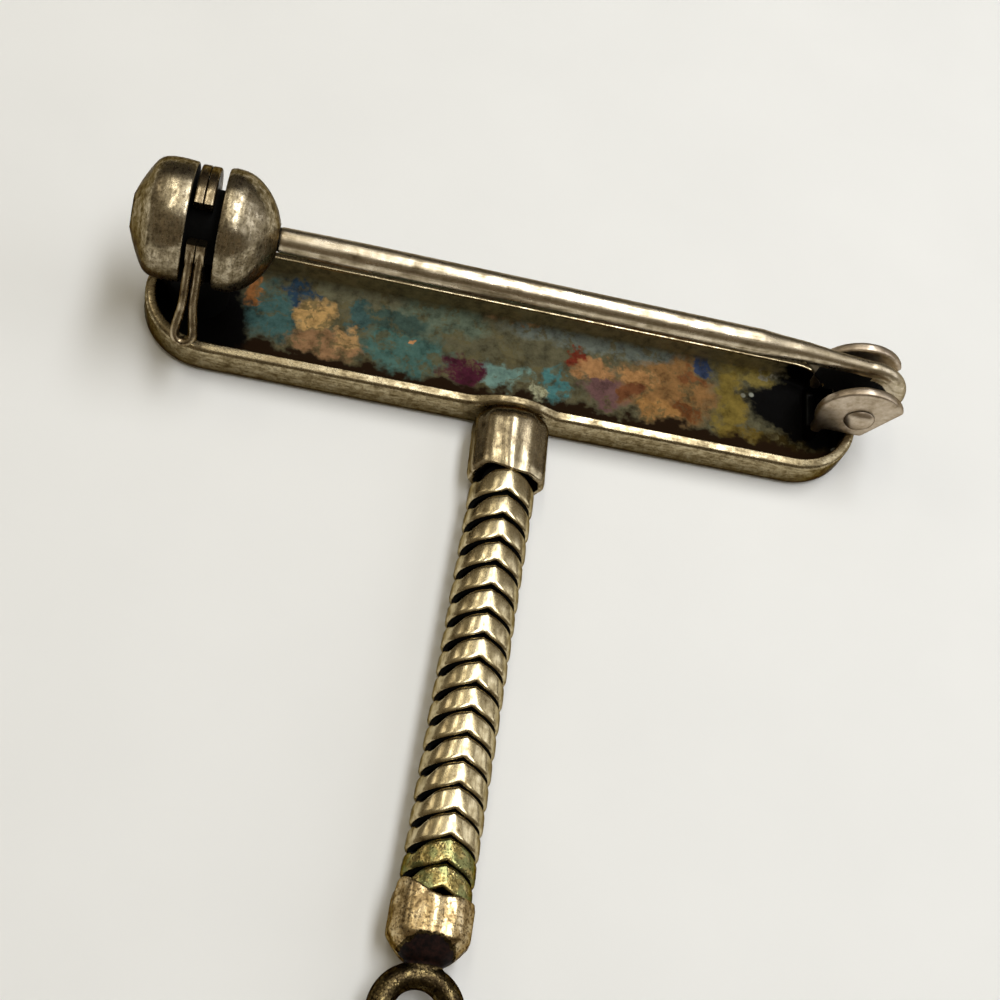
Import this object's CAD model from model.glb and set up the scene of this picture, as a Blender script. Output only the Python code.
import bpy
import bmesh
import math
from mathutils import Matrix, Vector


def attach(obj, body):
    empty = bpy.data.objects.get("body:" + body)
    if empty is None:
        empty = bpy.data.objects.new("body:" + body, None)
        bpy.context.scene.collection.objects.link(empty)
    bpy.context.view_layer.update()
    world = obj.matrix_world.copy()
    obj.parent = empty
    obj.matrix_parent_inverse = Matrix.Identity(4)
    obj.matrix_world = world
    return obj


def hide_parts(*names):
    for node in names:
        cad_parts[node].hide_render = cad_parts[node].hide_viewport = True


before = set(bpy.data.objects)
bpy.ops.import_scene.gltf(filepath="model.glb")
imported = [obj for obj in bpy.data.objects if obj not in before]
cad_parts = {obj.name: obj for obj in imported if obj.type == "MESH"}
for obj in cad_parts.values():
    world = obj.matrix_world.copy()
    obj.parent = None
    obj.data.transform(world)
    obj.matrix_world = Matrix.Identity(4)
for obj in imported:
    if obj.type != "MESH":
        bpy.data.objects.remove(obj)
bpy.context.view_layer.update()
mm = 0.001
print("frame loaded")


# Camera, placed for the photo's square frame
camera = {
    "picture": 1000,               # width and height in pixels
    "lens": 57.58,                 # mm
    "sensor": 36,                  # mm
    "down": 31.4986,               # angle between the view and straight down
    "turn": 16.0788,               # which way round the object it stands
    "roll": -24.4149,
    "origin": (505.056, 373.806),  # pixel of the object's origin
    "distance": 73.2435,           # mm
    "sees": (0.001, 10),           # nearest and farthest, in metres
}


def addCamera(c):
    down, turn, roll = (math.radians(c[k]) for k in ("down", "turn", "roll"))
    back = Vector((-math.sin(down)*math.sin(turn), -math.sin(down)*math.cos(turn), math.cos(down)))
    right = (-back).cross(Vector((0, 0, 1))).normalized()
    below = (-back).cross(right)
    xAxis = right*math.cos(roll) + below*math.sin(roll)
    yAxis = right*math.sin(roll) - below*math.cos(roll)
    focal = c["lens"]/c["sensor"]*c["picture"]
    u, v = (value - c["picture"]/2 for value in c["origin"])
    place = -(xAxis*u/focal - yAxis*v/focal - back)*c["distance"]*mm
    data = bpy.data.cameras.new("photoCamera")
    data.lens = c["lens"]
    data.sensor_width = c["sensor"]
    data.clip_start, data.clip_end = c["sees"]
    obj = bpy.data.objects.new("photoCamera", data)
    turned = Matrix((xAxis, yAxis, back)).transposed().to_4x4()
    obj.matrix_world = Matrix.Translation(place) @ turned
    bpy.context.scene.collection.objects.link(obj)
    bpy.context.scene.camera = obj


addCamera(camera)
print("camera set")


def colour(hexValue):
    parts = [int(hexValue[i:i + 2], 16)/255 for i in (1, 3, 5)]
    return [p/12.92 if p <= 0.04045 else ((p + 0.055)/1.055)**2.4 for p in parts] + [1.0]


# Links a socket to each input, or sets the input's own value
def fill(tree, node, inputs):
    for socket, source in inputs.items():
        if isinstance(source, bpy.types.NodeSocket):
            tree.links.new(source, node.inputs[socket])
        else:
            node.inputs[socket].default_value = source


# Adds a node and hands back its output out. stops are a colour ramp's places and colours.
# Mix: 0 is the factor, and it mixes 2 with 3 as numbers or 6 with 7 as colours.
# Map Range: 1 and 2 are the range that it reads, 3 and 4 are what it gives there
def add(tree, kind, inputs, out=0, stops=(), **settings):
    node = tree.nodes.new(kind)
    for key, value in settings.items():
        setattr(node, key, value)
    fill(tree, node, inputs)
    for _ in stops[2:]:
        node.color_ramp.elements.new(0.5)
    for element, (place, value) in zip(node.color_ramp.elements if stops else (), stops):
        element.position = place
        element.color = colour(value) if isinstance(value, str) else (value, value, value, 1)
    return node.outputs[out]


# A material whose patterns are all measured in mm
def newMaterial(name):
    mat = bpy.data.materials.new(name)
    mat.use_nodes = True
    tree = mat.node_tree
    at = add(tree, "ShaderNodeTexCoord", {}, "Object")
    inMm = add(tree, "ShaderNodeVectorMath", {0: at, "Scale": 1/mm}, operation="SCALE")
    return mat, tree, tree.nodes["Principled BSDF"], inMm


# What every silver has in common, in mm: widths of the streaks, specks, green patches and waves,
# and how deep the waves and the fine marks are
silverMarks = {"streak": 0.14, "speck": 0.1, "green": 0.45, "wave": 1.1, "waveDeep": 0.25, "fineDeep": 0.03,
               "edge": "#857D70"}        # the film keeps grazing reflections dark


# Sterling silver, turned or drawn and then worn: a metal under a thin brown sulphide film, with
# streaks along the way it was worked and a wavy surface that breaks its reflections up.
# along: how much longer a streak is than it is wide, on X, Y and Z; streak: how much the streaks show
# rough: where the silver is clean and where it is dark; blotch: width of the film's clouds in mm
# shade: the axis along which the film thickens, where it is thickest and where it ends, and how dark
def silver(name, clean, mid, dark, along, rough, blotch=0.7, pits=0.0, wave=0.35, green=None,
           streak=0.4, specks=0.0, grain=0.22, shade=None):
    marks = silverMarks
    mat, tree, shader, at = newMaterial(name)
    cloud = add(tree, "ShaderNodeTexNoise", {"Vector": at, "Scale": 1/blotch, "Detail": 6.0,
                                             "Roughness": 0.65})
    drawn = add(tree, "ShaderNodeMapping", {"Vector": at, "Scale": [1/a for a in along]})
    streaks = add(tree, "ShaderNodeTexNoise", {"Vector": drawn, "Scale": 1/marks["streak"], "Detail": 4.0,
                                               "Roughness": 0.6})
    both = add(tree, "ShaderNodeMix", {0: streak, 2: cloud, 3: streaks}, data_type="FLOAT")
    film = add(tree, "ShaderNodeValToRGB", {"Fac": both}, stops=[(0.34, dark), (0.47, mid), (0.62, clean)])
    if specks:
        dots = add(tree, "ShaderNodeTexNoise", {"Vector": at, "Scale": 1/marks["speck"], "Detail": 2.0})
        dots = add(tree, "ShaderNodeValToRGB", {"Fac": dots}, stops=[(0.52, 0.0), (0.62, specks)])
        film = add(tree, "ShaderNodeMix", {0: dots, 6: film, 7: colour(dark)}, 2, data_type="RGBA")
    if shade:
        axis, thick, clear, most = shade
        way = add(tree, "ShaderNodeSeparateXYZ", {0: at}, axis)
        deep = add(tree, "ShaderNodeMapRange", {"Value": way, 1: thick, 2: clear, 3: most, 4: 0.0})
        film = add(tree, "ShaderNodeMix", {0: deep, 6: film, 7: colour(dark)}, 2, data_type="RGBA")
    if green:
        patches = add(tree, "ShaderNodeTexNoise", {"Vector": at, "Scale": 1/marks["green"], "Detail": 3.0})
        patches = add(tree, "ShaderNodeValToRGB", {"Fac": patches}, stops=[(0.46, 0.0), (0.56, 1.0)])
        film = add(tree, "ShaderNodeMix", {0: patches, 6: film, 7: colour(green)}, 2, data_type="RGBA")
    gloss = add(tree, "ShaderNodeMapRange", {"Value": both, 1: 0.38, 2: 0.6, 3: rough[1], 4: rough[0]})
    wavy = add(tree, "ShaderNodeTexNoise", {"Vector": at, "Scale": 1/marks["wave"], "Detail": 1.0})
    normal = add(tree, "ShaderNodeBump", {"Height": wavy, "Strength": wave, "Distance": marks["waveDeep"]*mm})
    fine = streaks
    if pits:
        holes = add(tree, "ShaderNodeTexVoronoi", {"Vector": at, "Scale": 1/pits}, "Distance")
        holes = add(tree, "ShaderNodeValToRGB", {"Fac": holes}, stops=[(0.08, 0.0), (0.4, 1.0)])
        fine = add(tree, "ShaderNodeMix", {0: 0.7, 2: streaks, 3: holes}, data_type="FLOAT")
    normal = add(tree, "ShaderNodeBump", {"Height": fine, "Strength": 0.5 if pits else grain,
                                          "Distance": marks["fineDeep"]*mm, "Normal": normal})
    fill(tree, shader, {"Base Color": film, "Metallic": 1.0, "Specular Tint": colour(marks["edge"]),
                        "Roughness": gloss, "Normal": normal})
    return mat


# Silver sulphide, the black crust that grows where nothing rubs: matt, with a faint grain 0.2 mm wide
def sulphide(name, tint, paler, rough):
    mat, tree, shader, at = newMaterial(name)
    grain = add(tree, "ShaderNodeTexNoise", {"Vector": at, "Scale": 1/0.2, "Detail": 5.0, "Roughness": 0.6})
    crust = add(tree, "ShaderNodeValToRGB", {"Fac": grain}, stops=[(0.4, tint), (0.7, paler)])
    normal = add(tree, "ShaderNodeBump", {"Height": grain, "Strength": 0.3, "Distance": 0.03*mm})
    fill(tree, shader, {"Base Color": crust, "Roughness": rough, "Normal": normal,
                        "Specular IOR Level": 0.12})    # a crust this rough mirrors little
    return mat


# Inside of the bar: sterling silver that torch heat and sulphide have coloured like oil on water,
# almost matt, turning to a glossy black glaze of old flux under the ball and the pin's joint
tray = {
    "base": "#5F5B44",
    # middle and half size in mm, then the colour, from the lowest patch to the top one
    "patches": [
        (-6.3, 2.7, 4.0, 0.9, "#6B6850"), (-3.2, 1.9, 2.2, 0.9, "#5F6A58"), (4.2, 2.5, 4.2, 0.8, "#6A7066"),
        (1.2, 3.2, 3.4, 0.45, "#84694B"), (-10.9, 0.4, 1.25, 1.5, "#46645F"),
        (-9.7, 1.8, 0.7, 0.5, "#2F4456"), (-4.8, -0.1, 2.0, 1.3, "#4A6960"),
        (-5.6, 1.5, 1.6, 0.6, "#3F5148"), (-7.1, 1.3, 0.5, 0.9, "#435C58"),
        (-0.1, -0.5, 1.4, 0.7, "#6E8B80"), (-2.0, -0.7, 0.9, 0.7, "#4E2130"),
        (2.4, -0.4, 0.65, 1.1, "#4B7977"), (1.9, -1.0, 0.5, 0.35, "#AEAE8C"),
        (4.9, -0.1, 1.3, 0.9, "#6C4F4C"), (3.1, 1.3, 0.55, 0.45, "#7C3322"), (4.1, 0.9, 1.1, 0.5, "#A87C50"),
        (7.6, 0.4, 2.1, 1.8, "#8E693F"), (9.2, 2.8, 1.4, 0.55, "#4C6866"), (9.2, 2.2, 0.5, 0.35, "#38445F"),
        (10.5, 0.3, 0.75, 1.9, "#7E6C32"), (11.5, 2.3, 1.1, 0.45, "#85763E"),
        (11.6, -1.2, 1.2, 0.4, "#6C5A28"), (-11.8, 1.4, 0.4, 0.8, "#A0693A"),
        (-8.2, -0.75, 1.7, 0.65, "#94714E"), (-7.4, -0.1, 0.5, 0.6, "#B28D5C"),
        (-9.0, 0.8, 0.8, 1.0, "#C09A60"), (-4.3, 0.55, 0.22, 0.16, "#C08A5A"),
        (14.2, -1.5, 2.6, 0.9, "#32280F"), (12.3, 3.0, 1.2, 0.4, "#8B8672"), (6.3, 0.9, 0.8, 0.4, "#AE8150"),
        (8.4, -0.5, 0.9, 0.55, "#6E4526"), (7.0, -0.8, 0.8, 0.4, "#A37845"), (8.7, 1.3, 0.7, 0.4, "#7E5230"),
        (5.8, 0.0, 0.5, 0.5, "#764A2E"),
    ],
    "ragged": [(1.6, 2.3), (0.5, 1.0), (0.16, 0.35)],    # clouds that push the patches' edges: width, reach
    "stain": "#5F573A", "stainWide": 0.75,
    "wall": "#857B58", "wallFrom": (0.6, 0.9),           # heights between which the side wall's tone comes in
    "fleckWide": 0.6,
    "lowBrown": "#24170B", "lowBrownAt": (-1.05, -1.45),  # the brown line along the lower wall, on Y
    "glaze": [(14.4, 0.9, 3.2, 1.6), (15.0, 1.4, 2.2, 2.6), (-14.3, -0.4, 2.6, 2.5)], "black": "#070605",
    "salt": "#C9CDBE", "saltApart": 1.15,
}


# 1 inside an oval and 0 outside it, with its middle and half sizes in mm
def oval(tree, at, x, y, wide, high, soft):
    moved = add(tree, "ShaderNodeMapping", {"Vector": at, "Location": (x, y, 0), "Scale": (wide, high, 1000)},
                vector_type="TEXTURE")
    far = add(tree, "ShaderNodeVectorMath", {0: moved}, "Value", operation="LENGTH")
    return add(tree, "ShaderNodeMapRange", {"Value": far, 1: 1 + soft, 2: 1 - soft, 3: 0.0, 4: 1.0})


def trayFilm(t):
    mat, tree, shader, at = newMaterial("heatColouredSilver")
    shifted = at
    for size, reach in t["ragged"]:
        cloud = add(tree, "ShaderNodeTexNoise", {"Vector": at, "Scale": 1/size, "Detail": 3.0,
                                                 "Roughness": 0.6}, "Color")
        centred = add(tree, "ShaderNodeVectorMath", {0: cloud, 1: (0.5, 0.5, 0.5)}, operation="SUBTRACT")
        push = add(tree, "ShaderNodeVectorMath", {0: centred, "Scale": reach}, operation="SCALE")
        shifted = add(tree, "ShaderNodeVectorMath", {0: shifted, 1: push}, operation="ADD")
    film = colour(t["base"])
    for x, y, wide, high, tint in t["patches"]:
        here = oval(tree, shifted, x, y, wide, high, 0.18)
        film = add(tree, "ShaderNodeMix", {0: here, 6: film, 7: colour(tint)}, 2, data_type="RGBA")
    # olive stains break the patches up, and flecks from 0.1 to 0.6 mm across scuff them
    stains = add(tree, "ShaderNodeTexNoise", {"Vector": shifted, "Scale": 1/t["stainWide"], "Detail": 4.0,
                                              "Roughness": 0.6})
    stains = add(tree, "ShaderNodeValToRGB", {"Fac": stains}, stops=[(0.52, 0.0), (0.62, 0.75)])
    film = add(tree, "ShaderNodeMix", {0: stains, 6: film, 7: colour(t["stain"])}, 2, data_type="RGBA")
    up = add(tree, "ShaderNodeSeparateXYZ", {0: at}, "Z")
    low, high = t["wallFrom"]
    wall = add(tree, "ShaderNodeMapRange", {"Value": up, 1: low, 2: high, 3: 0.0, 4: 0.85})
    film = add(tree, "ShaderNodeMix", {0: wall, 6: film, 7: colour(t["wall"])}, 2, data_type="RGBA")
    flecks = add(tree, "ShaderNodeTexNoise", {"Vector": at, "Scale": 1/t["fleckWide"], "Detail": 8.0,
                                              "Roughness": 0.7})
    flecks = add(tree, "ShaderNodeValToRGB", {"Fac": flecks}, stops=[(0.34, 0.3), (0.47, 0.85), (0.62, 1.3)])
    film = add(tree, "ShaderNodeMix", {0: 0.75, 6: film, 7: flecks}, 2, data_type="RGBA",
               blend_type="MULTIPLY")
    height = add(tree, "ShaderNodeSeparateXYZ", {0: shifted}, "Y")
    high, low = t["lowBrownAt"]
    brown = add(tree, "ShaderNodeMapRange", {"Value": height, 1: high, 2: low, 3: 0.0, 4: 1.0})
    film = add(tree, "ShaderNodeMix", {0: brown, 6: film, 7: colour(t["lowBrown"])}, 2, data_type="RGBA")
    black = 0.0
    for x, y, wide, high in t["glaze"]:
        here = oval(tree, shifted, x, y, wide, high, 0.12)
        black = add(tree, "ShaderNodeMath", {0: black, 1: here}, operation="MAXIMUM")
    film = add(tree, "ShaderNodeMix", {0: black, 6: film, 7: colour(t["black"])}, 2, data_type="RGBA")
    # a few grains of salt stand on the glaze
    dots = add(tree, "ShaderNodeTexVoronoi", {"Vector": at, "Scale": 1/t["saltApart"]}, "Distance")
    salt = add(tree, "ShaderNodeMapRange", {"Value": dots, 1: 0.13, 2: 0.08, 3: 0.0, 4: 0.55})
    salt = add(tree, "ShaderNodeMath", {0: salt, 1: black}, operation="MULTIPLY")
    film = add(tree, "ShaderNodeMix", {0: salt, 6: film, 7: colour(t["salt"])}, 2, data_type="RGBA")
    matt = add(tree, "ShaderNodeMix", {0: black, 2: 0.5, 3: 0.4}, data_type="FLOAT")
    normal = add(tree, "ShaderNodeBump", {"Height": flecks, "Strength": 0.25, "Distance": 0.03*mm})
    fill(tree, shader, {"Base Color": film, "Roughness": matt, "Normal": normal, "Specular IOR Level": 0.02})
    return mat


barSilver = silver("tarnishedBarSilver", "#C6B896", "#968767", "#4A3D28", along=(6, 1, 1), rough=(0.2, 0.38),
                   blotch=0.5, wave=0.1, specks=0.4, shade=("Z", 0.1, 1.5, 0.85))
ballSilver = silver("turnedBallSilver", "#CFC2A7", "#9B8E73", "#4A3F2D", along=(1, 5, 5), rough=(0.2, 0.42),
                    blotch=0.32, wave=0.5, specks=0.5, shade=("Z", 4.2, 6.5, 0.9))
pinSilver = silver("drawnWireSilver", "#DDD0B8", "#B5A78C", "#6E5F46", along=(14, 1, 1), rough=(0.25, 0.38),
                   wave=0.2)
earSilver = silver("handledSilver", "#CDBFAC", "#B5A58F", "#8C7C66", along=(2, 1, 2), rough=(0.3, 0.42),
                   blotch=0.9)
collarSilver = silver("collarSilver", "#CFC1A0", "#A39477", "#4E402A", along=(1, 6, 1), rough=(0.17, 0.34),
                      blotch=0.4, wave=0.2, specks=0.3, grain=0.12, shade=("Y", -3.1, -4.1, 0.85))
stripSilver = silver("foldedStripSilver", "#BFB094", "#8B7B5F", "#43362A", along=(1, 5, 5),
                     rough=(0.18, 0.36), blotch=0.4)
chainSilver = silver("chainSilver", "#DDCEA8", "#B5A57F", "#655538", along=(1, 5, 1), rough=(0.16, 0.32),
                     blotch=0.4, wave=0.1, specks=0.25, grain=0.08)
brassySilver = silver("brassySilver", "#C4B27A", "#94834F", "#423619", along=(1, 2, 1), rough=(0.16, 0.38),
                      blotch=0.4, pits=0.13, green="#76754B", specks=0.8)
capSilver = silver("pittedCapSilver", "#D2BE95", "#A68E63", "#4C3A22", along=(1, 4, 1), rough=(0.19, 0.36),
                   blotch=0.35, wave=0.2, streak=0.25, specks=0.75)
ringSilver = silver("pittedRingSilver", "#6A5C3C", "#413623", "#19120A", along=(1, 1, 1), rough=(0.24, 0.44),
                    blotch=0.35, pits=0.15, specks=0.8)
hollowBlack = sulphide("hollowSulphide", "#020201", "#060503", 0.8)
glazeBlack = sulphide("glazedFlux", "#020202", "#050403", 0.3)
capEndCrust = sulphide("capEndSulphide", "#0C0605", "#2A1712", 0.65)
trayColours = trayFilm(tray)
print("materials ready")


def toMesh(bm, name):
    mesh = bpy.data.meshes.new(name)
    bm.to_mesh(mesh)
    bm.free()
    return mesh


# A part that was modelled on its own joins the piece
def addPart(bm, part):
    mesh = toMesh(part, "part")
    bm.from_mesh(mesh)
    bpy.data.meshes.remove(mesh)


def finishPiece(name, bm, materials, body, *nodes, slot, smoothAngle=40, fuse=None):
    bmesh.ops.remove_doubles(bm, verts=bm.verts, dist=0.0008*mm)
    bmesh.ops.recalc_face_normals(bm, faces=bm.faces)
    obj = bpy.data.objects.new(name, toMesh(bm, name))
    bpy.context.scene.collection.objects.link(obj)
    if fuse:
        fuseMesh(obj, *fuse)
    for material in materials:
        obj.data.materials.append(material)
    obj.data.polygons.foreach_set("use_smooth", [True]*len(obj.data.polygons))
    if not fuse:
        obj.data.set_sharp_from_angle(angle=math.radians(smoothAngle))
    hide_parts(*nodes)
    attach(obj, body)
    return obj


# Soldered parts flow into each other: the closed shells of a piece become one skin, then are rubbed smooth
def fuseMesh(obj, voxel, passes):
    remesh = obj.modifiers.new("fuse", "REMESH")
    remesh.mode = "VOXEL"
    remesh.voxel_size = voxel*mm
    rub = obj.modifiers.new("rub", "SMOOTH")
    rub.factor = 0.5
    rub.iterations = passes
    graph = bpy.context.evaluated_depsgraph_get()
    fused = bpy.data.meshes.new_from_object(obj.evaluated_get(graph))
    obj.modifiers.clear()
    obj.data = fused


# Gives each face one of its piece's materials: pick turns the face's middle, in mm, into its number
def paint(faces, pick):
    for face in faces:
        middle = face.calc_center_median() if isinstance(face, bmesh.types.BMFace) else face.center
        face.material_index = int(pick(middle/mm, face.normal))


near = 0.02      # mm: how far a face may lie past a wall and still belong to it


# A line of vertices whose numbered corners are rounded, each with its own radius in mm
def section(bm, points, rounds=None, closed=False):
    verts = [bm.verts.new(Vector(q)*mm) for q in points]
    ring = list(zip(verts, verts[1:])) + ([(verts[-1], verts[0])] if closed else [])
    for pair in ring:
        bm.edges.new(pair)
    for index, radius in (rounds or {}).items():
        bmesh.ops.bevel(bm, geom=[verts[index]], offset=radius*mm, offset_type="OFFSET", affect="VERTICES",
                        segments=6, profile=0.5, material=-1)
    return bm.verts[:] + bm.edges[:]


# Spins all that is there once round an axis through the middle
def turnFully(bm, axis, steps):
    bmesh.ops.spin(bm, geom=bm.verts[:] + bm.edges[:], cent=(0, 0, 0), axis=axis, angle=2*math.pi,
                   steps=steps, use_merge=True)


# The new vertices that an extrusion made, and the edges between them
def newRing(made):
    verts = {g for g in made if isinstance(g, bmesh.types.BMVert)}
    edges = [g for g in made if isinstance(g, bmesh.types.BMEdge) and verts.issuperset(g.verts)]
    return [g for g in made if g in verts], edges


# A round ring of vertices extruded from station to station and closed at both ends
def loft(bm, stations, sides=32):
    ring = bmesh.ops.create_circle(bm, cap_ends=True, radius=1, segments=sides)["verts"]
    bmesh.ops.transform(bm, matrix=stations[0], verts=ring)
    edges = [e for e in {e for v in ring for e in v.link_edges} if all(v in ring for v in e.verts)]
    for before, after in zip(stations, stations[1:]):
        ring, edges = newRing(bmesh.ops.extrude_edge_only(bm, edges=edges)["geom"])
        bmesh.ops.transform(bm, matrix=after @ before.inverted(), verts=ring)
    bmesh.ops.edgeloop_fill(bm, edges=edges)


# Where a loft's ring stands: its middle, the way it faces, which way is across, and its two half sizes
def station(middle, ahead, across, halfAcross, halfUp):
    ahead, across = Vector(ahead).normalized(), Vector(across).normalized()
    up = ahead.cross(across)
    turned = Matrix((across*halfAcross*mm, up*halfUp*mm, ahead*mm)).transposed().to_4x4()
    return Matrix.Translation(Vector(middle)*mm) @ turned


def turnPlace(bm, at, lean=0.0, rise=0.0):
    turned = Matrix.Rotation(math.radians(lean), 4, "Z") @ Matrix.Rotation(math.radians(rise), 4, "X")
    bmesh.ops.transform(bm, matrix=Matrix.Translation(Vector(at)*mm) @ turned, verts=bm.verts)
    return bm


# Bar: a section through the wall and floor, spun round each end and drawn along the sides.
# Its lower wall rises in an arch over the collar
bar = {"length": 32.8, "width": 6.1, "height": 1.7, "wall": 0.48, "floor": 0.5, "front": 0.42,
       "rimOut": 0.2, "rimIn": 0.1, "slope": 0.1, "inside": 0.3, "steps": 72, "endSteps": 36,
       "archAt": 0.3, "archHalf": 1.9, "archRise": 0.56, "archFrom": 1.0, "rimTone": 0.12}


def makeBar(b):
    bm = bmesh.new()
    r, end = b["width"]/2, b["length"]/2 - b["width"]/2
    inner = b["wall"] - r
    geom = section(bm, [(end, 0, 0), (end, -r, 0), (end, -r, b["height"] - b["slope"]),
                        (end, inner, b["height"]), (end, inner, b["floor"]), (end, 0, b["floor"])],
                   {1: b["front"], 2: b["rimOut"], 3: b["rimIn"], 4: b["inside"]})
    for x in (end, -end):
        last = bmesh.ops.spin(bm, geom=geom, cent=(x*mm, 0, 0), axis=(0, 0, 1), angle=math.pi,
                              steps=b["endSteps"])["geom_last"]
        lines = [g for g in last if isinstance(g, bmesh.types.BMEdge)]
        for _ in range(b["steps"]):
            moved, lines = newRing(bmesh.ops.extrude_edge_only(bm, edges=lines)["geom"])
            bmesh.ops.translate(bm, verts=moved, vec=(math.copysign(2*end/b["steps"], -x)*mm, 0, 0))
        geom = moved + lines
    bmesh.ops.remove_doubles(bm, verts=bm.verts, dist=0.001*mm)
    for v in bm.verts:
        x, y, z = v.co/mm
        across = (x - b["archAt"])/b["archHalf"]
        if abs(across) < 1 and y < inner + 0.06 and z > b["archFrom"]:
            high = min(1, (z - b["archFrom"])/(b["height"] - b["archFrom"]))
            v.co.z += b["archRise"]*(1 - across*across)**1.2*high*mm
    bmesh.ops.recalc_face_normals(bm, faces=bm.faces)

    def insideTray(middle, normal):
        out = math.hypot(max(0, abs(middle.x) - end), middle.y)
        return out < near - inner and b["floor"] - 0.05 < middle.z < b["height"] - b["rimTone"]
    paint(bm.faces, insideTray)
    return bm


finishPiece("barShell", makeBar(bar), [barSilver, trayColours], "brooch", "bar_shell",
            slot="tarnished_silver", smoothAngle=60)
print("bar made")


# Sleeve: a cup on an oval section, spun about its own axis with its mouth towards -Y.
# end is the profile of the closed end, as distance along and radius, from the middle out
def makeSleeve(c):
    bm = bmesh.new()
    r, long, deep = c["width"]/2, c["long"], c["deep"]
    hollow = r - c["wall"]
    profile = [(0, -along, radius) for along, radius in c["end"]]
    tail = len(profile)
    section(bm, profile + [(0, -long + 0.3, r), (0, -long, r - 0.06), (0, -long, hollow),
                           (0, -long + deep, hollow), (0, -long + deep, 0)],
            {**c["endRounds"], tail + 1: c["lip"], tail + 2: 0.05, tail + 3: 0.2})
    bmesh.ops.subdivide_edges(bm, edges=[e for e in bm.edges if e.calc_length() > 0.4*mm], cuts=8)
    turnFully(bm, (0, 1, 0), 96)
    bmesh.ops.remove_doubles(bm, verts=bm.verts, dist=0.001*mm)
    bmesh.ops.recalc_face_normals(bm, faces=bm.faces)
    paint(bm.faces, lambda middle, normal: math.hypot(middle.x, middle.z) < hollow + near
          and -long + 0.1 < middle.y < -long + deep + 0.01)
    for v in bm.verts:
        x, y, z = v.co/mm
        if math.hypot(x, z) > 1e-6:
            turn = math.atan2(x, z)
            facets = c["facet"]*math.cos(c["facets"]*(turn - math.radians(c["facetAt"])))
            grow = 1 - c["square"]*math.cos(4*turn) - c["facet"] + facets
            edge = max(0.0, min(1.0, (-y - long + 0.9)/0.9))
            degrees = math.degrees(turn)
            y -= edge*sum(reach*math.exp(-((degrees - at)/wide)**2) for at, wide, reach in c["mouth"])
            v.co = Vector((x*grow, y, z*grow*c["height"]/c["width"]))*mm
    return bm


collar = {"width": 3.5, "height": 2.56, "long": 3.42, "deep": 2.4, "wall": 0.3, "square": 0.02,
          "lip": 0.1, "facet": 0.016, "facets": 11, "facetAt": -4,     # shallow upright facets left by pliers
          "end": [(0, 0), (0, 1.2), (0.5, 1.75)], "endRounds": {1: 0.25, 2: 0.35},
          # mouth edge: angle from the top, width in degrees, reach in mm
          "mouth": [(-34, 24, -0.24), (14, 20, -0.02), (62, 34, 0.05), (-84, 26, 0.04)],
          "at": (0.3, -3.08, 1.3)}
finishPiece("collarSleeve", turnPlace(makeSleeve(collar), collar["at"]), [collarSilver, hollowBlack],
            "brooch", "collar", slot="worn_silver")
print("collar made")


# Links of the snake chain: one wavy band each, its neck inside the band above.
# wave, crest and peak shape its edges into a chevron; a notch at the left shows the dark inside
chain = {"count": 17, "width": 2.9, "height": 2.4, "long": 1.0, "first": 0.92, "pitch": 1.16, "close": 0.005,
         "wave": 0.11, "crest": 4, "peak": 0.5, "peakWide": 38, "side": 0.1, "square": 0.02,
         "from": (0.2, -6.52, 1.3), "lean": -3.3, "rise": -0.31,
         "notchAt": -52, "notchWide": 13, "notchDeep": 0.29, "crestNotch": 0.1, "crestWide": 16,
         "firstLonger": 0.2, "brassyFrom": 15}


def makeLink(c, index):
    bm = bmesh.new()
    r, half = c["width"]/2, c["long"]/2
    section(bm, [(0, half - 0.04, r - 0.3), (0, half, r - 0.1), (0, half - 0.1, r - 0.02), (0, 0, r),
                 (0, -half + 0.12, r), (0, -half, r - 0.08), (0, -half + 0.02, r - 0.3),
                 (0, half - 0.4, r - 0.38), (0, half - 0.4, r - 0.7), (0, half + 0.56, r - 0.68),
                 (0, half + 0.56, r - 0.5), (0, half - 0.06, r - 0.5)],
            {2: 0.08, 4: 0.07, 5: 0.04}, closed=True)
    turnFully(bm, (0, 1, 0), 96)
    paint(bm.faces, lambda middle, normal: math.hypot(middle.x, middle.z) < r - 0.2)
    for v in bm.verts:
        x, y, z = v.co/mm
        y += c["firstLonger"] if index == 0 and y > 0.1 else 0.0
        turn = math.atan2(x, z)
        degrees = math.degrees(turn)
        outer = max(0.0, min(1.0, (math.hypot(x, z) - r + 0.34)/0.2))
        if outer and y > -0.01:
            notch = c["notchDeep"]*math.exp(-((degrees - c["notchAt"])/c["notchWide"])**2)
            crest = c["crestNotch"]*math.exp(-((degrees - c["crest"])/c["crestWide"])**2)
            y -= outer*(notch + crest)*min(1, y/half)
        if outer:
            y -= outer*math.copysign(c["side"]*(1 - math.cos(2*turn))/2, y)*min(1, abs(y)/half)
        y += c["wave"]*math.cos(2*(turn - math.radians(c["crest"])))
        y += c["peak"]*(math.exp(-abs(degrees - c["crest"])/c["peakWide"]) - 0.3)
        grow = 1 - c["square"]*math.cos(4*turn)
        v.co = Vector((x*grow, y, z*grow*c["height"]/c["width"]))*mm
    along = c["first"] + index*c["pitch"] - index*index*c["close"]
    bmesh.ops.translate(bm, verts=bm.verts, vec=(0, -along*mm, 0))
    return turnPlace(bm, c["from"], c["lean"], c["rise"])


for index in range(chain["count"]):
    skin = brassySilver if index >= chain["brassyFrom"] else chainSilver
    finishPiece("chainLink%02d" % (index + 1), makeLink(chain, index), [skin, hollowBlack], "brooch",
                "link_%02d" % (index + 1), slot="chain_silver", smoothAngle=50)
print("chain made")


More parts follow.
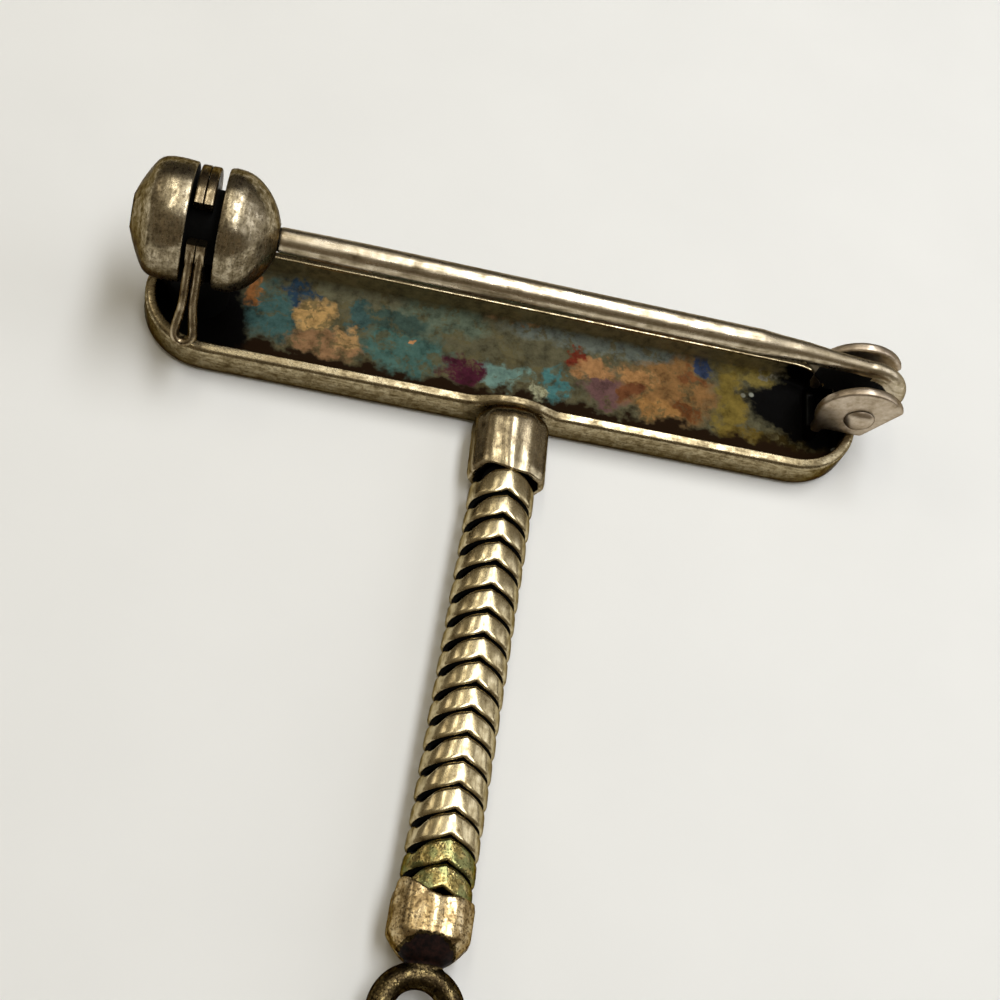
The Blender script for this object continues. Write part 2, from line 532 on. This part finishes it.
# Cap: a cup with a hard shoulder, its ring soldered under it
cap = {"width": 3.32, "height": 2.76, "long": 2.48, "deep": 1.3, "wall": 0.16, "square": 0.05,
       "lip": 0.05, "facet": 0.015, "facets": 11, "facetAt": 3,
       "end": [(0, 0), (0, 0.75), (0.35, 1.2), (0.92, 1.66)], "endRounds": {1: 0.3, 2: 0.4, 3: 0.1},
       "mouth": [(56, 32, 0.42), (-2, 20, -0.12), (-66, 30, -0.06)],
       "at": (-0.86, -24.91, 1.4), "lean": -3, "ring": 1.85, "wire": 0.5,
       # solder between cap and ring: how far past the cap's end, then its half width and height
       "solder": [(-0.35, 0.95, 0.8), (-0.05, 0.72, 0.55), (0.25, 0.7, 0.42), (0.5, 0.9, 0.36)],
       "crustHalf": (0.95, 0.66), "crustOff": (-0.15, -0.2)}


# The cup is made mouth up: turned round so that its closed end is towards -Y
def makeRingCap(c):
    bm = makeSleeve(c)
    turned = Matrix.Translation((0, -c["long"]*mm, 0)) @ Matrix.Rotation(math.pi, 4, "Z")
    bmesh.ops.transform(bm, matrix=turned, verts=bm.verts)
    ringAt = -c["long"] - c["ring"] + 0.12
    wire = bmesh.ops.create_circle(bm, radius=c["wire"]*mm, segments=28)["verts"]
    wireAt = Matrix.Translation((0, (ringAt + c["ring"] - c["wire"])*mm, 0))
    upright = wireAt @ Matrix.Rotation(math.pi/2, 4, "Y")
    bmesh.ops.transform(bm, matrix=upright, verts=wire)
    rim = list({e for v in wire for e in v.link_edges})
    bmesh.ops.spin(bm, geom=wire + rim, cent=(0, ringAt*mm, 0), axis=(0, 0, 1), angle=2*math.pi, steps=72,
                   use_merge=True)
    loft(bm, [station((0, -c["long"] - past, 0), (0, -1, 0), (1, 0, 0), wide, high)
              for past, wide, high in c["solder"]])
    return turnPlace(bm, c["at"], c["lean"])


# 0 the cap's silver, 1 the ring's, 2 the hollow, 3 the crust on the cap's end, with a ragged edge
def capSkin(middle, normal):
    across = middle.x - cap["at"][0]
    past = cap["at"][1] - middle.y - cap["long"]
    ragged = 0.1*math.sin(9*across) + 0.08*math.sin(21*across + 5*(past + cap["long"]))
    (wide, high), (aside, below) = cap["crustHalf"], cap["crustOff"]
    crust = ((across - aside)/wide)**2 + ((past - below)/high)**2 - ragged
    if middle.z < cap["at"][2] or past > 0.05:
        crust = 2.0
    if crust < 1:
        return 3
    if past > -0.1 or crust < 1.35:
        return 1
    inHollow = past < cap["deep"] - cap["long"] and math.hypot(across, middle.z - cap["at"][2]) < 1.2
    return 2 if inHollow else 0


ringCap = finishPiece("ringCap", makeRingCap(cap), [capSilver, ringSilver, hollowBlack, capEndCrust],
                      "brooch", "end_cap", slot="pitted_silver", fuse=(0.045, 6))
paint(ringCap.data.polygons, capSkin)
print("cap made")


# Ball catch: two turned halves on a hub, spun from one closed section about the bar's direction.
# The left half's dome starts further out than the right one's
ball = {"at": (-14.2, 0.65, 5.4), "radius": 2.6, "edge": 2.53, "half": 3.19, "leftHalf": 3.09, "slot": 0.7,
        "leftSlot": 0.61, "pole": 0.7, "leftCrease": 2.09, "rightCrease": 1.62, "hub": 1.58, "bore": 1.1,
        "steps": 14, "rub": 4, "leftFlat": 0.4, "lip": 0.07, "bulge": 2.4,
        "postRadius": 1.38, "postTaper": 0.92, "postFoot": 0.52, "postTop": 2.3,
        "askew": 0.1}       # the left dome's end is bent up and towards -Y, by this slope at its pole


# From the pole hole's edge to the crease: a circle about a point of the axis, drawn towards its chord by flat
def domeArc(crease, edge, half, pole, steps, flat):
    middle = (half*half - crease*crease - edge*edge)/(2*(half - crease))
    radius = half - middle
    start, stop = math.asin(pole/radius), math.asin(edge/radius)
    turns = [start + (stop - start)*k/steps for k in range(steps + 1)]
    arc = [(middle + radius*math.cos(a), radius*math.sin(a)) for a in turns]
    (endX, endR), (creaseX, creaseR) = arc[0], arc[-1]
    chord = [(creaseX - endX)*(r - endR)/(creaseR - endR) + endX for x, r in arc]
    return [(x + flat*(straight - x), r) for (x, r), straight in zip(arc, chord)]


def makeBall(b):
    bm = bmesh.new()

    def band(crease, side, places):
        return [(side*(b["slot"] + (crease - b["slot"])*t),
                 b["radius"] - (b["radius"] - b["edge"])*abs(2*t - 1)**b["bulge"]) for t in places]
    right = domeArc(b["rightCrease"], b["edge"], b["half"], b["pole"], b["steps"], 0.0)
    left = domeArc(b["leftCrease"], b["edge"], b["leftHalf"], b["pole"], b["steps"], b["leftFlat"])
    left = [(-x, r) for x, r in reversed(left)]
    leftEnd, rightEnd = 0.9 - b["half"], b["half"] - 0.8
    outline = (right + band(b["rightCrease"], 1, (0.75, 0.5, 0.25))
               + [(b["slot"], b["edge"]), (b["slot"], b["hub"]), (-b["leftSlot"], b["hub"]),
                  (-b["leftSlot"], b["edge"])]
               + band(b["leftCrease"], -1, (0.25, 0.5, 0.75)) + left
               + [(leftEnd, b["pole"]), (leftEnd, b["bore"]), (rightEnd, b["bore"]), (rightEnd, b["pole"])])
    corner = len(right) + 3
    # the creases are worn soft; the slot and the pole holes stay crisp
    for _ in range(b["rub"]):
        for start, stop in ((1, corner - 1), (corner + 4, corner + 6 + len(left))):
            worn = [[(p + 2*q + n)/4 for p, q, n in zip(*outline[k - 1:k + 2])] for k in range(start, stop)]
            outline[start:stop] = worn
    section(bm, [(x, 0, r) for x, r in outline], {corner: b["lip"], corner + 3: b["lip"]}, closed=True)
    turnFully(bm, (1, 0, 0), 144)
    bmesh.ops.remove_doubles(bm, verts=bm.verts, dist=0.001*mm)
    bmesh.ops.recalc_face_normals(bm, faces=bm.faces)

    def inHollows(middle, normal):
        aside, out = abs(middle.x), math.hypot(middle.y, middle.z)
        inSlot = aside < b["slot"] + near and out < b["edge"] - 0.1
        inBore = aside < b["half"] - 0.3 and out < b["bore"] + near
        return inSlot or inBore or out < b["pole"] + 0.004
    paint(bm.faces, inHollows)
    for v in bm.verts:
        out = max(0.0, (-v.co.x/mm - b["slot"])/(b["leftHalf"] - b["slot"]))
        v.co.x += (v.co.z - v.co.y)*b["askew"]*min(1.0, out)**2
    turnPlace(bm, b["at"])
    foot, top = b["postFoot"], b["at"][2] - b["postTop"]
    post = bmesh.ops.create_cone(bm, cap_ends=True, segments=48, radius1=b["postRadius"]*mm,
                                 radius2=b["postRadius"]*b["postTaper"]*mm, depth=(top - foot)*mm)["verts"]
    bmesh.ops.translate(bm, verts=post, vec=Vector((b["at"][0], b["at"][1], (top + foot)/2))*mm)
    for face in {f for v in post for f in v.link_faces}:
        face.material_index = 1
    return bm


finishPiece("catchBall", makeBall(ball), [ballSilver, hollowBlack], "brooch", "catch_body",
            slot="tarnished_silver", smoothAngle=32)
print("ball made")


# Folded strip: two strands side by side round the hub, open at a mouth, then parting into a loop
strip = {"at": (-14.25, 0.65, 5.4), "outer": 2.48, "inner": 1.66, "strand": 0.385, "line": 0.02,
         "mouthFrom": 18, "mouthTo": 59, "thick": 0.29, "leverOut": 2.17, "leverHalf": 0.195,
         # half of the lever's middle line, as side and distance along
         "leverPath": [(0.2, 0.02), (0.2, 1.2), (0.2, 2.5), (0.215, 2.8), (0.26, 3.15), (0.32, 3.5),
                       (0.37, 3.85)],
         "loopAt": 4.04, "loop": 0.39}


def makeStrip(s):
    bm = bmesh.new()
    sweep = math.radians(360 - s["mouthTo"] + s["mouthFrom"])
    for side in (1, -1):
        part = bmesh.new()
        inside, outside = side*s["line"], side*(s["line"] + s["strand"])
        section(part, [(inside, 0, s["inner"]), (outside, 0, s["inner"]), (outside, 0, s["outer"]),
                       (inside, 0, s["outer"])], {2: 0.09, 3: 0.04}, closed=True)
        bmesh.ops.edgeloop_fill(part, edges=part.edges[:])
        bmesh.ops.rotate(part, verts=part.verts, matrix=Matrix.Rotation(math.radians(s["mouthTo"]), 3, "X"))
        bmesh.ops.spin(part, geom=part.verts[:] + part.edges[:] + part.faces[:], cent=(0, 0, 0),
                       axis=(1, 0, 0), angle=sweep, steps=80)
        addPart(bm, part)
    half = s["leverPath"]
    turns = [math.pi*k/10 for k in range(11)]
    loop = [(s["loop"]*math.cos(a), s["loopAt"] + s["loop"]*math.sin(a)) for a in turns]
    line = [(x, -y, 0) for x, y in half + loop + [(-x, y) for x, y in reversed(half)]]
    stations = []
    for k, point in enumerate(line):
        ahead = Vector(line[min(k + 1, len(line) - 1)]) - Vector(line[max(k - 1, 0)])
        stations.append(station(point, ahead, Vector((0, 0, 1)).cross(ahead), s["leverHalf"], s["thick"]))
    lever = bmesh.new()
    loft(lever, stations, 20)
    out = Matrix.Rotation(math.radians(s["mouthTo"]), 4, "X") @ Matrix.Translation((0, 0, s["leverOut"]*mm))
    bmesh.ops.transform(lever, matrix=out, verts=lever.verts)
    addPart(bm, lever)
    return turnPlace(bm, s["at"])


finishPiece("catchStrip", makeStrip(strip), [stripSilver], "lever", "catch_rotor", slot="dark_silver",
            smoothAngle=50)
print("strip made")


# A copy of a CAD solid with its loose triangles merged, for a piece that is fused and rubbed smooth
def copySolid(node):
    bm = bmesh.new()
    bm.from_mesh(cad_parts[node].data)
    bmesh.ops.remove_doubles(bm, verts=bm.verts, dist=0.002*mm)
    return bm


# Joint: two ears on a foot, with a domed rivet through them
hinge = {"at": (15.9, 0.65, 3.05), "half": 1.5, "shank": 0.5, "head": 0.7, "rise": 0.26,
         "glazeUpTo": 1.45, "earsApart": 0.75, "glazeBetween": 3.2}


def makeRivet(h):
    bm = bmesh.new()
    side = [(0.0, h["half"] + h["rise"]), (0.42, h["half"] + h["rise"] - 0.03),
            (h["head"] - 0.06, h["half"] + 0.1), (h["head"], h["half"]), (h["shank"], h["half"])]
    outline = side + [(r, -y) for r, y in reversed(side)]
    section(bm, [(0, y, r) for r, y in outline], {1: 0.15, 2: 0.06})
    turnFully(bm, (0, 1, 0), 64)
    return turnPlace(bm, h["at"])


# The flux glaze covers the ears' foot and the space between the ears
def glazed(middle, normal):
    between = abs(middle.y - hinge["at"][1]) < hinge["earsApart"] and middle.z < hinge["glazeBetween"]
    return between or middle.z < hinge["glazeUpTo"]


ears = finishPiece("pinEars", copySolid("joint_bracket"), [earSilver, glazeBlack], "brooch", "joint_bracket",
                   slot="worn_silver", fuse=(0.05, 44))
paint(ears.data.polygons, glazed)
finishPiece("pinRivet", makeRivet(hinge), [earSilver], "brooch", "joint_rivet", slot="worn_silver")
print("joint made")


# Pin: drawn wire with a blunt tip, hammered flat into an eye whose rim runs round the rivet
pin = {"tip": (-11.16, 5.38), "flat": (12.6, 5.05),    # the wire's two ends, as distance along and height
       "side": 0.8, "tipSide": 0.73,
       # distance from the tip, then the wire's radius
       "wire": [(0.0, 0.45), (0.06, 0.51), (0.2, 0.55), (2.0, 0.58), (4.0, 0.6), (11.16, 0.6), (21.56, 0.6)],
       # towards the eye: distance past flat, drop, slope, then half width across and up
       "neck": [(0.0, -0.01, -0.05, 0.46, 0.46), (1.0, 0.06, -0.1, 0.4, 0.4), (2.0, 0.17, -0.12, 0.38, 0.4)],
       "rimRadius": 1.745, "rim": 0.4, "rimAcross": 0.38, "rimTurns": range(96, -1, -6),
       "webHalf": 0.29, "hole": 0.56, "heel": 1.15,
       "darkIn": 0.47, "darkLess": 0.25, "darkFrom": 1.2, "darkNeck": (13.4, 15.9, 4.6)}


def makePin(p):
    bm = bmesh.new()
    across, w, rimR = (0, 1, 0), p["webHalf"], p["rimRadius"]
    (tipX, tipZ), (flatX, flatZ) = p["tip"], p["flat"]
    low, high = p["side"] - w, p["side"] + w
    ahead = (flatX - tipX, 0, flatZ - tipZ)

    def onWire(past, radius, side=None):
        t = past/(flatX - tipX)
        aside = p["tipSide"] + (p["side"] - p["tipSide"])*t if side is None else side
        return station((tipX + past, aside, tipZ + (flatZ - tipZ)*t), ahead, across, radius, radius)
    stations = [onWire(past, radius) for past, radius in p["wire"]]
    stations.append(onWire(flatX - 1.2 - tipX, 0.52, p["side"]))
    stations += [station((flatX + past, p["side"], flatZ - drop), (1, 0, slope), across, wide, up)
                 for past, drop, slope, wide, up in p["neck"]]
    hx, _, hz = hinge["at"]
    for turn in (math.radians(a) for a in p["rimTurns"]):
        stations.append(station((hx + rimR*math.cos(turn), p["side"], hz + rimR*math.sin(turn)),
                                (math.sin(turn), 0, -math.cos(turn)), across, p["rimAcross"], p["rim"]))
    loft(bm, stations, 36)
    # the eye's flat: a half disc up to the rim and a smaller one below, round the rivet's hole
    for outer, start in ((rimR + 0.05, 0), (p["heel"], math.pi)):
        before = set(bm.verts)
        made = section(bm, [(hx + p["hole"], low, hz), (hx + outer, low, hz), (hx + outer, high, hz),
                            (hx + p["hole"], high, hz)], closed=True)
        ring = [g for g in made if isinstance(g, bmesh.types.BMEdge) and not before.intersection(g.verts)]
        filled = bmesh.ops.edgeloop_fill(bm, edges=ring)["faces"]
        verts = [v for v in bm.verts if v not in before]
        bmesh.ops.rotate(bm, verts=verts, cent=(hx*mm, 0, hz*mm), matrix=Matrix.Rotation(-start, 3, "Y"))
        bmesh.ops.spin(bm, geom=verts + ring + filled, cent=(hx*mm, 0, hz*mm), axis=(0, -1, 0), angle=math.pi,
                       steps=36)
    # and the web that fills the corner between the neck and the disc
    before = set(bm.verts)
    section(bm, [(flatX, low, flatZ - 0.3), (hx - rimR - 0.2, low, hz + 0.3), (hx - 0.4, low, hz + 0.62),
                 (hx - 0.4, low, hz + rimR), (flatX + 1, low, flatZ)], closed=True)
    corner = [v for v in bm.verts if v not in before]
    web = bmesh.ops.edgeloop_fill(bm, edges=list({e for v in corner for e in v.link_edges}))["faces"]
    thick = bmesh.ops.extrude_face_region(bm, geom=web)["geom"]
    bmesh.ops.translate(bm, verts=newRing(thick)[0], vec=(0, 2*w*mm, 0))
    return bm


# The flat inside the rim is black; towards the right end the silver rim widens over it
def eyeSkin(middle, normal):
    along, up = middle.x - hinge["at"][0], middle.z - hinge["at"][2]
    widen = pin["darkLess"]*(1 - math.cos(min(0, math.atan2(up, along) - pin["darkFrom"])))
    inEye = math.hypot(along, up) < pin["rimRadius"] - pin["darkIn"] - widen
    start, stop, below = pin["darkNeck"]
    return abs(normal.y) > 0.8 and (inEye or start < middle.x < stop and middle.z < below)


pinWire = finishPiece("pinWire", makePin(pin), [pinSilver, hollowBlack], "pin", "pin_stem",
                      slot="worn_silver", fuse=(0.055, 6))
paint(pinWire.data.polygons, eyeSkin)
print("pin made")


# Floor: matt pale card, faintly clouded, half its width in metres and its clouds in mm
board = {"half": 0.6, "cloud": 9, "tones": [(0.3, "#EDEDE9"), (0.7, "#F0F0EC")], "rough": 0.75}
paleBoard, tree, shader, at = newMaterial("paleBoard")
cloud = add(tree, "ShaderNodeTexNoise", {"Vector": at, "Scale": 1/board["cloud"], "Detail": 3.0})
tone = add(tree, "ShaderNodeValToRGB", {"Fac": cloud}, stops=board["tones"])
fill(tree, shader, {"Base Color": tone, "Roughness": board["rough"]})
card = bmesh.new()
bmesh.ops.create_grid(card, x_segments=1, y_segments=1, size=board["half"])
floor = bpy.data.objects.new("paleFloor", toMesh(card, "paleFloor"))
floor.data.materials.append(paleBoard)
bpy.context.scene.collection.objects.link(floor)

lights = [
    # name, place in mm, size along X and Y in mm, watts, colour, and whether it faces the object
    ("overheadStrip", (44, 26, 200), (50, 240), 0.308, "#F6F9FF", False),
    ("secondStrip", (-48, 40, 200), (24, 190), 0.055, "#FFFBF0", False),
    ("sideCard", (-120, 50, 110), (50, 50), 0.012, "#FFF6E4", True),
    ("rightWindow", (170, 10, 110), (150, 150), 0.086, "#F2F6FF", True),
]
for name, place, (wide, long), watts, tint, faces in lights:
    data = bpy.data.lights.new(name, "AREA")
    data.shape = "RECTANGLE"
    data.size = wide*mm
    data.size_y = long*mm
    data.energy = watts
    data.color = colour(tint)[:3]
    lamp = bpy.data.objects.new(name, data)
    lamp.location = Vector(place)*mm
    if faces:
        lamp.rotation_euler = (-lamp.location).to_track_quat("-Z", "Y").to_euler()
    bpy.context.scene.collection.objects.link(lamp)

# What the metal mirrors: a dim brown room with a pale ceiling, dim on its near side and dark on its far side
room = {"heights": [(0.0, "#2A241C"), (0.4, "#3D3428"), (0.7, "#706652"), (0.9, "#9C937F"), (1.0, "#A39B88")],
        "walls": ("#9E9584", 0.7),
        # colour, where it is full and where it ends on Y, and how strong
        "near": ("#6A5E4C", -0.75, -0.35, 0.9), "far": ("#1D150D", 0.85, 0.55, 0.75)}
world = bpy.data.worlds.new("dimRoom")
bpy.context.scene.world = world
world.use_nodes = True
tree = world.node_tree
look = add(tree, "ShaderNodeTexCoord", {}, "Generated")
x, y, z = (add(tree, "ShaderNodeSeparateXYZ", {0: look}, axis) for axis in "XYZ")
glow = add(tree, "ShaderNodeValToRGB", {"Fac": z}, stops=room["heights"])
tint, share = room["walls"]
sides = add(tree, "ShaderNodeMath", {0: x, 1: x}, operation="MULTIPLY")
sides = add(tree, "ShaderNodeMath", {0: sides, 1: share}, operation="MULTIPLY")
glow = add(tree, "ShaderNodeMix", {0: sides, 6: glow, 7: colour(tint)}, 2, data_type="RGBA")
for tint, full, clear, share in (room["near"], room["far"]):
    reach = add(tree, "ShaderNodeMapRange", {"Value": y, 1: full, 2: clear, 3: share, 4: 0.0})
    glow = add(tree, "ShaderNodeMix", {0: reach, 6: glow, 7: colour(tint)}, 2, data_type="RGBA")
fill(tree, tree.nodes["Background"], {"Color": glow, "Strength": 1.0})
bpy.context.scene.view_settings.view_transform = "Standard"
print("floor and lights set")
